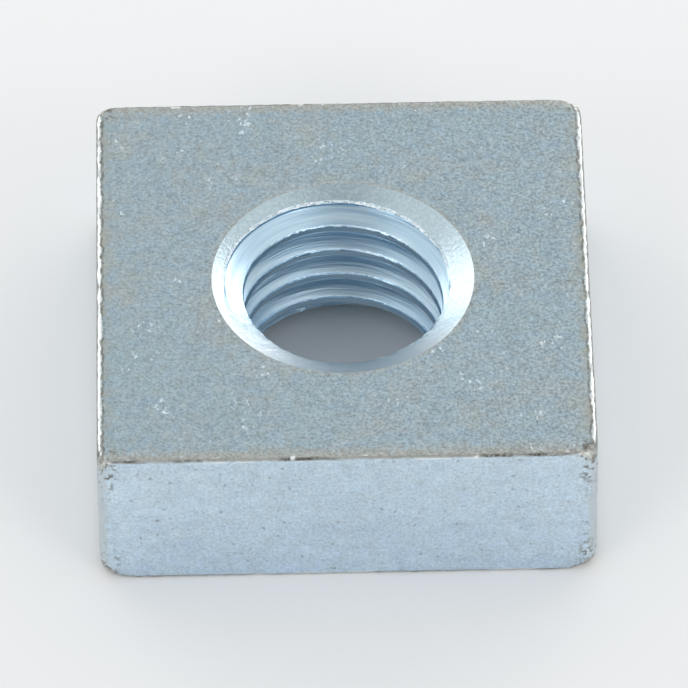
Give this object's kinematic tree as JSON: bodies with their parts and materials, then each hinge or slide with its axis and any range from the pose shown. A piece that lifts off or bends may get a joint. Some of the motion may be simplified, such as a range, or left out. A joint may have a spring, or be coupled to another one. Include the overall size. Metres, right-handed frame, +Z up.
{
  "type": "square nut",
  "caption": "Square zinc-plated steel nut with a metric coarse thread, countersunk at both faces, with lightly worn edges and corners.",
  "frame": {"origin": "centre of the underside, on the thread's axis", "axes": "+X across the bar the nut was cut from, +Y along that bar, +Z up the thread's axis"},
  "size_m": [0.025, 0.025, 0.0086],
  "materials": {
    "zinc_plate": "zinc plated, clear bluish passivate, matt on the rolled faces and smoother on the cut faces"
  },
  "bodies": {
    "root": {"square_nut": "zinc_plate"}
  },
  "joints": []
}
